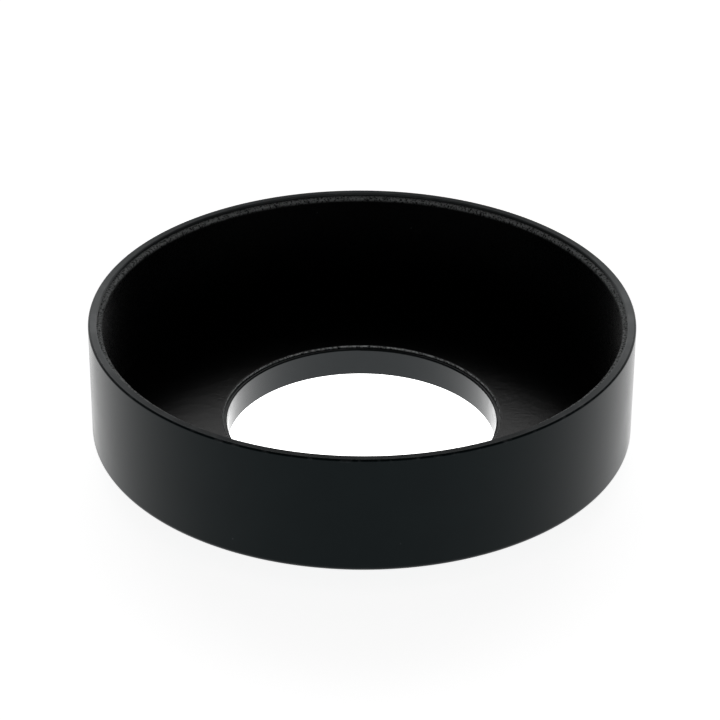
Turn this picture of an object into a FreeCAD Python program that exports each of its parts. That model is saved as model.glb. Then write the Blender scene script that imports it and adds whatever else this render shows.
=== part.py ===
"""Screw-in lens hood: a short, wide, straight-sided cup that stands in front of a lens.

Millimetres. +Z is the optical axis, pointing out of the hood's front rim. The origin is the
centre of the threaded neck's lower face, on which the hood stands when it is off the lens.
"""

import FreeCAD, Part
import math
import os

# Outer shell
shell_radius = 38.0
shell_height = 17.3
shell_wall = 1.2
rim_rounding = 0.3
rear_edge_rounding = 0.8
rim_inner_chamfer = 0.12

# Lens thread, M40.5 x 0.5, a standard filter size
thread_radius = 40.5 / 2
thread_pitch = 0.5
thread_depth = 0.3
thread_flank_angle = 30.0  # degrees, each flank from the plane across the axis
thread_start_chamfer = 0.3
thread_relief_width = 0.5
thread_relief_radius = thread_radius - thread_depth - 0.05
thread_relief_undercut = 0.1  # how far the relief also reaches into the seating flange
thread_start_angle = 120.0  # degrees round from +X, where the groove begins below the neck's end

# Mount ring
neck_length = 3.5  # from the neck's lower face to the shell's rear edge
light_bore_radius = 19.05
light_bore_rounding = 0.25
spigot_wall = 0.95  # of the tube that comes up through the base plate
flange_radius = 22.5
flange_thickness = 0.6
flange_chamfer = 0.15
shoulder_radius = thread_radius + 0.05  # inner edge of the flange's seating face

# Base plate
plate_thickness = 0.65
plate_ledge = 0.3  # how far the plate reaches into the shell's wall

# Flock linings
wall_lining_thickness = 0.7
wall_lining_set_back = 0.45  # the lining stops this far short of the rim
wall_lining_seam = 0.3
wall_lining_edge_rounding = 0.35
floor_lining_thickness = 0.35
floor_lining_set_back = 0.55  # the lining stops this far short of the light bore
lining_gap = 0.05

# Heights and radii that follow
rear_edge = neck_length
rim_top = rear_edge + shell_height
plate_top = rear_edge + plate_thickness
floor_top = plate_top + floor_lining_thickness
flange_bottom = rear_edge - flange_thickness
relief_top = flange_bottom + thread_relief_undercut
cup_radius = shell_radius - shell_wall
plate_radius = cup_radius + plate_ledge
spigot_radius = light_bore_radius + spigot_wall
wall_lining_radius = cup_radius - wall_lining_thickness

AXIS = FreeCAD.Vector(0, 0, 1)


def at(radius, height):
    """A point of an outline, in the half plane that is turned about the axis."""
    return FreeCAD.Vector(radius, 0, height)


def turned(*corners):
    """The solid that an outline of (radius, height) corners sweeps in one turn about the axis."""
    points = [at(radius, height) for radius, height in corners]
    outline = Part.makePolygon(points + points[:1])
    return Part.Face(outline).revolve(FreeCAD.Vector(), AXIS, 360).Solids[0]


def rings_at(solid, *places):
    """The solid's circular edges that lie at the given (radius, height) places."""
    found = []
    for radius, height in places:
        for edge in solid.Edges:
            if edge.Closed and isinstance(edge.Curve, Part.Circle):
                same_radius = math.isclose(edge.Curve.Radius, radius, abs_tol=1e-4)
                same_height = math.isclose(edge.Curve.Center.z, height, abs_tol=1e-4)
                if same_radius and same_height:
                    found.append(edge)
    return found


def outer_shell():
    """The straight outer tube, rounded at both outer edges, with a seat for the base plate."""
    shell = turned(
        (plate_radius, rear_edge),
        (shell_radius, rear_edge),
        (shell_radius, rim_top),
        (cup_radius, rim_top),
        (cup_radius, plate_top),
        (plate_radius, plate_top),
    )
    shell = shell.makeFillet(rim_rounding, rings_at(shell, (shell_radius, rim_top)))
    shell = shell.makeFillet(rear_edge_rounding, rings_at(shell, (shell_radius, rear_edge)))
    return shell.makeChamfer(rim_inner_chamfer, rings_at(shell, (cup_radius, rim_top)))


def base_plate():
    """The flat disc that closes the shell's rear and holds the mount ring."""
    return turned(
        (spigot_radius, rear_edge),
        (plate_radius, rear_edge),
        (plate_radius, plate_top),
        (spigot_radius, plate_top),
    )


def thread_groove():
    """The thread's V groove, wound from below the neck's end up into the thread relief."""
    start = -thread_pitch
    end = flange_bottom - thread_relief_width / 2
    overshoot = thread_pitch / 16
    slope = math.tan(math.radians(thread_flank_angle))
    crest_half_width = thread_pitch * 7 / 16
    mouth = crest_half_width + overshoot * slope
    root = crest_half_width - thread_depth * slope
    corners = [
        at(thread_radius + overshoot, start - mouth),
        at(thread_radius - thread_depth, start - root),
        at(thread_radius - thread_depth, start + root),
        at(thread_radius + overshoot, start + mouth),
    ]
    section = Part.makePolygon(corners + corners[:1])
    path = Part.makeHelix(thread_pitch, end - start, thread_radius)
    path.translate(at(0, start))
    groove = path.makePipeShell([section], True, True)
    groove.rotate(FreeCAD.Vector(), AXIS, thread_start_angle)
    return groove


def mount_ring():
    """The lens-side ring: a threaded neck, a seating flange and a spigot up through the base plate."""
    ring = turned(
        (light_bore_radius, 0),
        (thread_radius, 0),
        (thread_radius, flange_bottom - thread_relief_width),
        (thread_relief_radius, flange_bottom - thread_relief_width),
        (thread_relief_radius, relief_top),
        (shoulder_radius, relief_top),
        (shoulder_radius, flange_bottom),
        (flange_radius, flange_bottom),
        (flange_radius, rear_edge),
        (spigot_radius, rear_edge),
        (spigot_radius, plate_top),
        (light_bore_radius, plate_top),
    )
    ring = ring.makeFillet(light_bore_rounding, rings_at(ring, (light_bore_radius, plate_top)))
    ring = ring.makeChamfer(thread_start_chamfer, rings_at(ring, (thread_radius, 0)))
    ring = ring.makeChamfer(flange_chamfer, rings_at(ring, (flange_radius, flange_bottom)))
    threaded = ring.cut(thread_groove())
    if math.isclose(threaded.Volume, ring.Volume, rel_tol=0.01):
        raise RuntimeError("the thread groove removed nothing from the mount ring")
    return threaded


def wall_lining():
    """The flocked strip round the inside of the shell, open at its butt seam on the -Y side."""
    top = rim_top - wall_lining_set_back
    band = turned(
        (wall_lining_radius, plate_top),
        (cup_radius, plate_top),
        (cup_radius, top),
        (wall_lining_radius, top),
    )
    band = band.makeFillet(wall_lining_edge_rounding, rings_at(band, (wall_lining_radius, top)))
    seam_corner = FreeCAD.Vector(-wall_lining_seam / 2, -shell_radius, 0)
    seam = Part.makeBox(wall_lining_seam, shell_wall + 2 * wall_lining_thickness, rim_top, seam_corner)
    return band.cut(seam)


def floor_lining():
    """The flocked ring stuck over the base plate and the spigot's end, out to the wall lining."""
    inner = light_bore_radius + floor_lining_set_back
    outer = wall_lining_radius - lining_gap
    return turned(
        (inner, plate_top),
        (outer, plate_top),
        (outer, floor_top),
        (inner, floor_top),
    )


NODES = {
    "outer_shell": outer_shell,
    "base_plate": base_plate,
    "mount_ring": mount_ring,
    "wall_lining": wall_lining,
    "floor_lining": floor_lining,
}

os.makedirs("parts", exist_ok=True)
for name, make in NODES.items():
    shape = make()
    if len(shape.Solids) != 1 or not shape.isValid():
        raise RuntimeError(f"{name} isn't one valid solid")
    shape.Solids[0].exportStep(f"parts/{name}.step")
    print(f"{name}: {shape.Volume:.1f} mm3")
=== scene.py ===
"""Looks of the screw-in lens hood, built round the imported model. Metres, +Z along the optical axis."""

import math

import bmesh
import bpy
from mathutils import Matrix, Vector, noise


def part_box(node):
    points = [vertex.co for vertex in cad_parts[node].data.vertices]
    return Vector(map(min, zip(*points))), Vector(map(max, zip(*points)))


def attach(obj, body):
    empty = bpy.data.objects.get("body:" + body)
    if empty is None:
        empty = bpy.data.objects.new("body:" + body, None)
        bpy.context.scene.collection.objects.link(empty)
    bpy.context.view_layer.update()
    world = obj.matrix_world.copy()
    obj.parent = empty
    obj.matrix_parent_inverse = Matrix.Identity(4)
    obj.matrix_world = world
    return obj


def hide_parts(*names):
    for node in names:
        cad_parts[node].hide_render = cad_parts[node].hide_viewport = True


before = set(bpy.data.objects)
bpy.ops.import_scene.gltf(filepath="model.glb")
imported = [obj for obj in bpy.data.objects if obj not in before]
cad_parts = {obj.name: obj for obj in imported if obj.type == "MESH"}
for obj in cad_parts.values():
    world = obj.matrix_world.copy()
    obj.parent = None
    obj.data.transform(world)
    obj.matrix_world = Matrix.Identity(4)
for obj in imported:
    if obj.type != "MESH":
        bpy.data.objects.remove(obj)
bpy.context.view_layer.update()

MM = 0.001


def inner_radius(node):
    """How near a CAD node's mesh comes to the axis."""
    return min(corner.co.xy.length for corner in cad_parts[node].data.vertices)


# Places that the CAD settles
shell_low, shell_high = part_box("outer_shell")
plate_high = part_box("base_plate")[1]
wall_low, wall_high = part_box("wall_lining")
floor_low, floor_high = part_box("floor_lining")
shell_radius = shell_high.x
plate_radius = plate_high.x
cup_radius = wall_high.x
rim_top = shell_high.z
rear_edge = shell_low.z
lining_radius = inner_radius("wall_lining")
floor_outer = floor_high.x
floor_inner = inner_radius("floor_lining")
bore_radius = inner_radius("mount_ring")

# Edges of the shell and the linings
rim_rounding = 0.3 * MM
rim_inner_chamfer = 0.12 * MM
rear_rounding = 0.8 * MM
wall_lining_rounding = 0.4 * MM
floor_lining_rounding = 0.15 * MM
seam_half_width = 0.15 * MM
land_margin = 1.05  # the bare land starts this many rim roundings in from the outside

# Wear and pile
rim_wear = 0.5 * MM  # how far rubbing reaches from the rim's outer corner
rear_wear = 0.9 * MM  # the same at the rear edge
lump_size = 0.9 * MM
lump_rise = 0.008 * MM
tuft_size = 0.36 * MM
tuft_rise = 0.03 * MM
wall_nap = 1.0  # how strongly the pile stands up
wall_edge_nap = 1.5  # on the rounding at the wall lining's top
floor_nap = 0.35
wall_cut_depth = 0.8 * MM  # the painted highlight along the cut edge, where the pile is also rougher, starts this far below the lining's top
floor_cut_start = 0.09 * MM  # on the floor lining the painted highlight and the rougher pile start this far out from its hole
floor_cut_width = 0.06 * MM

# How finely the pieces are divided
turn_steps = 360
arc_steps = 8
outer_corners = 2  # a lining's outline starts with the two on its outer side, which stay unruffled
sharp_angle = math.radians(35)
pile_spacing = 0.25 * MM

# The photographer's view: azimuth 0 looks along +Y
camera_elevation = math.radians(31.47)
camera_distance = 429.1 * MM  # from the centre of the shell's rear edge
camera_aim = Vector((-0.27, 0, 13.48)) * MM
camera_roll = math.radians(0.255)
sensor_width = 36  # mm
focal_length = 151.3  # mm

# Table and light
table_half_width = 3.0
table_gap = 0.02 * MM  # below the neck, so that the two don't share a plane
table_glow = 0.87
hole_glow = 2.4  # a painted pool of brighter light on the table under the light bore
glow_edge = 2 * MM  # width of the change between the two
towards_light = Vector((0, 0.97, 0.24)).normalized()
light_edge = math.radians(50)  # from towards_light, where the light ends
light_full = math.radians(25)
light_strength = 1.25
room_strength = 0.12


# Shapes

def outline(*corners):
    """A closed outline of (radius, height) points from corners given as (radius, height, rounding)."""
    points = []
    for i, (radius, height, rounding) in enumerate(corners):
        corner = Vector((radius, height))
        if not rounding:
            points.append(corner)
            continue
        to_last = (Vector(corners[i - 1][:2]) - corner).normalized()
        to_next = (Vector(corners[(i + 1) % len(corners)][:2]) - corner).normalized()
        half_angle = to_last.angle(to_next) / 2
        centre = corner + (to_last + to_next).normalized() * rounding / math.sin(half_angle)
        start = (corner + to_last * rounding / math.tan(half_angle) - centre).normalized()
        end = (corner + to_next * rounding / math.tan(half_angle) - centre).normalized()
        for step in range(arc_steps + 1):
            points.append(centre + rounding * start.slerp(end, step / arc_steps))
    return points


def divided(points, first, last, spacing):
    """The outline with its straight run from point first to point last cut into steps of about spacing."""
    start, end = points[first], points[last]
    steps = round((end - start).length / spacing)
    between = [start.lerp(end, step / steps) for step in range(1, steps)]
    return points[: first + 1] + between + points[last:]


def around_axis(point, angle):
    return Vector((point[0] * math.cos(angle), point[0] * math.sin(angle), point[1]))


def skinned(name, sections, closed):
    """A piece over sections that are closed loops of equally many points; an open run is capped."""
    count = len(sections[0])
    faces = []
    for here in range(len(sections) if closed else len(sections) - 1):
        there = (here + 1) % len(sections)
        for i in range(count):
            j = (i + 1) % count
            faces.append((here * count + i, there * count + i, there * count + j, here * count + j))
    if not closed:
        faces.append(tuple(range(count)))
        faces.append(tuple(range((len(sections) - 1) * count, len(sections) * count)))
    mesh = bpy.data.meshes.new(name)
    mesh.from_pydata([point for section in sections for point in section], [], faces)
    build = bmesh.new()
    build.from_mesh(mesh)
    bmesh.ops.recalc_face_normals(build, faces=build.faces)
    build.to_mesh(mesh)
    build.free()
    mesh.shade_smooth()
    mesh.set_sharp_from_angle(angle=sharp_angle)
    obj = bpy.data.objects.new(name, mesh)
    bpy.context.scene.collection.objects.link(obj)
    return obj


def turned(name, points):
    """A piece turned about the axis from a closed outline, with flats that shade as flats."""
    turns = [math.tau * step / turn_steps for step in range(turn_steps)]
    obj = skinned(name, [[around_axis(point, angle) for point in points] for angle in turns], closed=True)
    flats = obj.modifiers.new("flats", "WEIGHTED_NORMAL")
    flats.keep_sharp = True
    return obj


def tuft_height(point):
    """How far the pile stands out at a place: soft lumps with single tufts on them."""
    lumps = noise.noise(point / lump_size)
    tufts = noise.noise(point / tuft_size)
    return lump_rise * lumps + tuft_rise * tufts


def flocked(name, points, nap, angles, closed):
    """A flocked piece: its outline swept round by angles, with some of its points ruffled.

    nap holds the ruffled points' indexes, each with how strongly its pile stands up.
    """
    outward = {}
    for i in nap:
        along = points[i + 1] - points[i - 1]
        outward[i] = Vector((along.y, -along.x)).normalized()
    sections = []
    for angle in angles:
        section = [around_axis(point, angle) for point in points]
        for i in nap:
            section[i] += around_axis(outward[i], angle) * tuft_height(section[i]) * nap[i]
        sections.append(section)
    return skinned(name, sections, closed)


# Materials

def node_material(name):
    """A new material, with its node tree and its Principled shader."""
    material = bpy.data.materials.new(name)
    material.use_nodes = True
    return material, material.node_tree, material.node_tree.nodes["Principled BSDF"]


def make_node(tree, kind, **settings):
    node = tree.nodes.new("ShaderNode" + kind)
    for setting, value in settings.items():
        setattr(node, setting, value)
    return node


def feed(tree, socket, source):
    """Joins a socket to a source socket, or sets it to a plain value."""
    if isinstance(source, bpy.types.NodeSocket):
        tree.links.new(source, socket)
    else:
        socket.default_value = source


def calculate(tree, operation, *values):
    node = make_node(tree, "Math", operation=operation)
    for socket, value in zip(node.inputs, values):
        feed(tree, socket, value)
    return node.outputs[0]


def eased(tree, value, start, end, low=0.0, high=1.0):
    """low where value is at start, high where it is at end, and a smooth change between."""
    node = make_node(tree, "MapRange", interpolation_type="SMOOTHSTEP")
    for socket, source in zip(node.inputs, (value, start, end, low, high)):
        feed(tree, socket, source)
    return node.outputs["Result"]


def blended(tree, share, first, second):
    """A colour from first to second as share goes from 0 to 1."""
    node = make_node(tree, "Mix", data_type="RGBA")
    feed(tree, node.inputs[0], share)
    feed(tree, node.inputs[6], first)
    feed(tree, node.inputs[7], second)
    return node.outputs[2]


def place(tree):
    """The sockets of a point, of its distance from the axis and of its height."""
    point = make_node(tree, "TexCoord").outputs["Object"]
    split = make_node(tree, "SeparateXYZ")
    feed(tree, split.inputs[0], point)
    across = calculate(tree, "MULTIPLY", split.outputs["X"], split.outputs["X"])
    squares = calculate(tree, "MULTIPLY_ADD", split.outputs["Y"], split.outputs["Y"], across)
    return point, calculate(tree, "SQRT", squares), split.outputs["Z"]


def grain(tree, point, size, detail=2.0):
    """Soft noise, 0 to 1, with blobs about size across."""
    node = make_node(tree, "TexNoise")
    feed(tree, node.inputs["Vector"], point)
    feed(tree, node.inputs["Scale"], 1 / size)
    feed(tree, node.inputs["Detail"], detail)
    return node.outputs["Fac"]


def lines(tree, distance, pitch, detail=2.0):
    """Uneven parallel lines, 0 to 1, that repeat every pitch or so along distance."""
    node = make_node(tree, "TexNoise", noise_dimensions="1D")
    feed(tree, node.inputs["W"], distance)
    feed(tree, node.inputs["Scale"], 1 / pitch)
    feed(tree, node.inputs["Detail"], detail)
    return node.outputs["Fac"]


def specks(tree, point, spacing, size, share):
    """1 on specks about size across, one in each spacing-wide cell for that share of the cells."""
    node = make_node(tree, "TexVoronoi")
    feed(tree, node.inputs["Vector"], point)
    feed(tree, node.inputs["Scale"], 1 / spacing)
    split = make_node(tree, "SeparateXYZ")
    feed(tree, split.inputs[0], node.outputs["Color"])
    near = eased(tree, node.outputs["Distance"], size / spacing, 0.4 * size / spacing)
    chosen = calculate(tree, "LESS_THAN", split.outputs["X"], share)
    return calculate(tree, "MULTIPLY", near, chosen)


def near_ring(tree, radius, height, ring_radius, ring_height, reach):
    """1 on the circle of that radius and height, falling to 0 at reach from it."""
    out = calculate(tree, "SUBTRACT", radius, ring_radius)
    up = calculate(tree, "SUBTRACT", height, ring_height)
    squares = calculate(tree, "MULTIPLY_ADD", out, out, calculate(tree, "MULTIPLY", up, up))
    return eased(tree, calculate(tree, "SQRT", squares), reach, 0.0)


def raised(tree, shader, height, depth):
    """Relief of that depth in the shader's normal, where height is 0 to 1."""
    node = make_node(tree, "Bump")
    feed(tree, node.inputs["Height"], height)
    feed(tree, node.inputs["Distance"], depth)
    tree.links.new(node.outputs["Normal"], shader.inputs["Normal"])


def satin_black(name, worn_rings):
    """Satin black finish on fine-blasted aluminium, rubbed grey in places along the worn rings."""
    material, tree, shader = node_material(name)
    point, radius, height = place(tree)
    shade = eased(tree, grain(tree, point, 5 * MM), 0.3, 0.7)
    colour = blended(tree, shade, (0.0008, 0.0024, 0.0030, 1), (0.0014, 0.0034, 0.0040, 1))
    dust = specks(tree, point, 4.5 * MM, 0.11 * MM, 0.4)
    colour = blended(tree, dust, colour, (0.05, 0.052, 0.055, 1))
    for ring_radius, ring_height, reach in worn_rings:
        edge = near_ring(tree, radius, height, ring_radius, ring_height, reach)
        patches = eased(tree, grain(tree, point, 1.4 * MM, 4.0), 0.52, 0.68)
        rubbed = calculate(tree, "MULTIPLY", edge, patches)
        colour = blended(tree, rubbed, colour, (0.030, 0.032, 0.034, 1))
    feed(tree, shader.inputs["Base Color"], colour)
    smears = grain(tree, point, 7 * MM, 3.0)
    feed(tree, shader.inputs["Roughness"], eased(tree, smears, 0.25, 0.75, 0.14, 0.22))
    shader.inputs["IOR"].default_value = 1.32
    shader.inputs["Specular Tint"].default_value = (0.38, 0.46, 0.48, 1)
    raised(tree, shader, grain(tree, point, 0.16 * MM, 3.0), 0.006 * MM)
    return material


def turned_black(name):
    """The same finish over a lathe's circular marks, as on the rim's land and the base plate."""
    material, tree, shader = node_material(name)
    point, radius, _ = place(tree)
    marks = lines(tree, radius, 0.09 * MM)
    colour = blended(tree, marks, (0.0010, 0.0024, 0.0028, 1), (0.0022, 0.0046, 0.0052, 1))
    feed(tree, shader.inputs["Base Color"], colour)
    feed(tree, shader.inputs["Roughness"], eased(tree, grain(tree, point, 3 * MM), 0.3, 0.7, 0.52, 0.62))
    shader.inputs["IOR"].default_value = 1.9
    shader.inputs["Specular Tint"].default_value = (0.86, 0.90, 0.92, 1)
    shader.inputs["Anisotropic"].default_value = 1.0
    shader.inputs["Anisotropic Rotation"].default_value = 0.25
    around = make_node(tree, "Tangent", direction_type="RADIAL", axis="Z")
    tree.links.new(around.outputs["Tangent"], shader.inputs["Tangent"])
    raised(tree, shader, marks, 0.004 * MM)
    return material


def smooth_black(name):
    """Glossier black anodising on the turned mount ring, with faint tool marks round its bore."""
    material, tree, shader = node_material(name)
    point, _, height = place(tree)
    marks = lines(tree, height, 0.12 * MM)
    blotches = grain(tree, point, 1.6 * MM, 4.0)
    colour = blended(tree, blotches, (0.0004, 0.0012, 0.0016, 1), (0.0046, 0.0062, 0.0068, 1))
    feed(tree, shader.inputs["Base Color"], colour)
    feed(tree, shader.inputs["Roughness"], eased(tree, blotches, 0.3, 0.7, 0.16, 0.26))
    shader.inputs["Specular Tint"].default_value = (0.36, 0.38, 0.39, 1)
    raised(tree, shader, marks, 0.0025 * MM)
    return material


def flock(name, cut_distance, cut_start, cut_end, pile_size, relief, roughness, ior, sheen):
    """Black flock: near-black pile with lint on it, and a painted highlight along its cut edge, where the
    pile is also rougher.

    cut_distance picks what is measured across the cut edge: "radius" or "height".
    """
    material, tree, shader = node_material(name)
    point, radius, height = place(tree)
    pile = grain(tree, point, pile_size, 4.0)
    patches = grain(tree, point, 1.6 * MM)
    colour = blended(tree, patches, (0.0004, 0.0006, 0.0007, 1), (0.0012, 0.0015, 0.0016, 1))
    across = radius if cut_distance == "radius" else height
    cut = eased(tree, across, cut_start, cut_end)
    # Dotted pale colour along the cut edge: a painted highlight that stands in for fibres there catching
    # the light.
    dotted_highlight = calculate(tree, "MULTIPLY", cut, eased(tree, grain(tree, point, 0.3 * MM, 3.0), 0.3, 0.62))
    painted_highlight = calculate(tree, "MULTIPLY", cut, dotted_highlight)
    colour = blended(tree, painted_highlight, colour, (0.30, 0.31, 0.31, 1))
    lint = specks(tree, point, 3.6 * MM, 0.2 * MM, 0.16)
    colour = blended(tree, lint, colour, (0.12, 0.12, 0.125, 1))
    feed(tree, shader.inputs["Base Color"], colour)
    dullness = eased(tree, pile, 0.3, 0.7, roughness - 0.06, roughness + 0.06)
    feed(tree, shader.inputs["Roughness"], calculate(tree, "MULTIPLY_ADD", cut, 0.45, dullness))
    shader.inputs["IOR"].default_value = ior
    shader.inputs["Specular Tint"].default_value = (0.01, 0.01, 0.01, 1)
    shader.inputs["Sheen Weight"].default_value = sheen
    shader.inputs["Sheen Roughness"].default_value = 0.24
    raised(tree, shader, pile, relief)
    return material


# Pieces

def finish_piece(obj, material_slot, replaced, *materials):
    """Gives a piece its materials, hangs it on the root body and hides the CAD node it replaces."""
    for material in materials:
        obj.data.materials.append(material)
    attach(obj, "root")
    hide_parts(replaced)


def make_shell():
    """The outer tube, turned, with its land and inner lip in the finish that shows the lathe's marks."""
    points = outline(
        (plate_radius, rear_edge, 0),
        (shell_radius, rear_edge, rear_rounding),
        (shell_radius, rim_top, rim_rounding),
        (cup_radius + rim_inner_chamfer, rim_top, 0),
        (cup_radius, rim_top - rim_inner_chamfer, 0),
        (cup_radius, wall_high.z, 0),
        (cup_radius, plate_high.z, 0),
        (plate_radius, plate_high.z, 0),
    )
    shell = turned("hood_shell", points)
    worn = ((shell_radius, rim_top, rim_wear), (shell_radius, rear_edge, rear_wear))
    looks = (satin_black("satin_black", worn), turned_black("turned_black"))
    finish_piece(shell, "black_anodised", "outer_shell", *looks)
    land_start = shell_radius - rim_rounding * land_margin
    for face in shell.data.polygons:
        bare = face.center.z > wall_high.z and face.center.xy.length < land_start
        face.material_index = 1 if bare else 0


def make_wall_lining():
    """The flocked strip round the inside of the shell, from one side of its seam to the other."""
    points = outline(
        (cup_radius, wall_low.z, 0),
        (cup_radius, wall_high.z, 0),
        (lining_radius, wall_high.z, wall_lining_rounding),
        (lining_radius, wall_low.z, 0),
    )
    points = divided(points, len(points) - 2, len(points) - 1, pile_spacing)
    seam = seam_half_width / lining_radius
    steps = round(math.tau * lining_radius / pile_spacing)
    start = -math.pi / 2 + seam
    angles = [start + (math.tau - 2 * seam) * step / steps for step in range(steps + 1)]
    rounding_end = outer_corners + arc_steps
    nap = {}
    for i in range(outer_corners, len(points) - 1):
        nap[i] = wall_edge_nap if i <= rounding_end else wall_nap
    lining = flocked("flock_wall", points, nap, angles, closed=False)
    edge = wall_high.z - wall_cut_depth
    pile = {"pile_size": 0.26 * MM, "relief": 0.055 * MM, "roughness": 0.27, "ior": 1.15, "sheen": 0.25}
    look = flock("flock_wall", "height", edge, wall_high.z, **pile)
    finish_piece(lining, "black_flock", "wall_lining", look)


def make_floor_lining():
    """The flocked ring on the floor of the hood."""
    points = outline(
        (floor_outer, floor_low.z, 0),
        (floor_outer, floor_high.z, 0),
        (floor_inner, floor_high.z, floor_lining_rounding),
        (floor_inner, floor_low.z, 0),
    )
    points = divided(points, 1, 2, pile_spacing)
    steps = round(math.tau * floor_outer / pile_spacing)
    angles = [math.tau * step / steps for step in range(steps)]
    nap = {i: floor_nap for i in range(outer_corners, len(points) - 1)}
    lining = flocked("flock_floor", points, nap, angles, closed=True)
    edge = floor_inner + floor_cut_start
    inner = edge - floor_cut_width
    pile = {"pile_size": 0.16 * MM, "relief": 0.018 * MM, "roughness": 0.2, "ior": 1.65, "sheen": 0.05}
    look = flock("flock_floor", "radius", edge, inner, **pile)
    finish_piece(lining, "black_flock", "floor_lining", look)


def dress(node, material):
    """Gives a CAD node, which stays as it is, a finished material."""
    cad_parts[node].data.materials[0] = material


# Studio

def studio_floor():
    """A pale table that glows, with a painted pool of brighter light under the light bore, and is far
    wider than the hood.
    """
    half = table_half_width
    top = -table_gap
    mesh = bpy.data.meshes.new("table")
    corners = [(-half, -half, top), (half, -half, top), (half, half, top), (-half, half, top)]
    mesh.from_pydata(corners, [], [(0, 1, 2, 3)])
    table = bpy.data.objects.new("table", mesh)
    bpy.context.scene.collection.objects.link(table)
    material, tree, shader = node_material("lit_table")
    shader.inputs["Base Color"].default_value = (0.8, 0.8, 0.8, 1)
    shader.inputs["Roughness"].default_value = 0.9
    shader.inputs["Specular IOR Level"].default_value = 0.0
    shader.inputs["Emission Color"].default_value = (1, 1, 1, 1)
    _, radius, _ = place(tree)
    # Painted pool of light: the table glows brighter under the bore than elsewhere.
    glow = eased(tree, radius, bore_radius, bore_radius + glow_edge, hole_glow, table_glow)
    feed(tree, shader.inputs["Emission Strength"], glow)
    mesh.materials.append(material)


def studio_light():
    """A large soft light low behind the hood, with the room dim elsewhere."""
    world = bpy.data.worlds.new("studio")
    bpy.context.scene.world = world
    world.use_nodes = True
    tree = world.node_tree
    way = make_node(tree, "TexCoord").outputs["Generated"]
    alignment = make_node(tree, "VectorMath", operation="DOT_PRODUCT")
    feed(tree, alignment.inputs[0], way)
    feed(tree, alignment.inputs[1], towards_light)
    edge, full = math.cos(light_edge), math.cos(light_full)
    strength = eased(tree, alignment.outputs["Value"], edge, full, room_strength, light_strength)
    background = tree.nodes["Background"]
    background.inputs["Color"].default_value = (1, 1, 1, 1)
    tree.links.new(strength, background.inputs["Strength"])


def place_camera():
    """The photographer's camera, in front of the hood and looking down into it."""
    data = bpy.data.cameras.new("camera")
    data.sensor_width = sensor_width
    data.lens = focal_length
    data.clip_start = 0.01
    camera = bpy.data.objects.new("camera", data)
    bpy.context.scene.collection.objects.link(camera)
    bpy.context.scene.camera = camera
    back = Vector((0, -math.cos(camera_elevation), math.sin(camera_elevation)))
    camera.location = Vector((0, 0, rear_edge)) + back * camera_distance
    turn = (camera_aim - camera.location).to_track_quat("-Z", "Y").to_matrix().to_4x4()
    camera.rotation_euler = (turn @ Matrix.Rotation(camera_roll, 4, "Z")).to_euler()


make_shell()
make_wall_lining()
make_floor_lining()
dress("base_plate", turned_black("turned_black_plate"))
dress("mount_ring", smooth_black("smooth_black"))
studio_floor()
studio_light()
place_camera()
bpy.context.scene.view_settings.view_transform = "Standard"
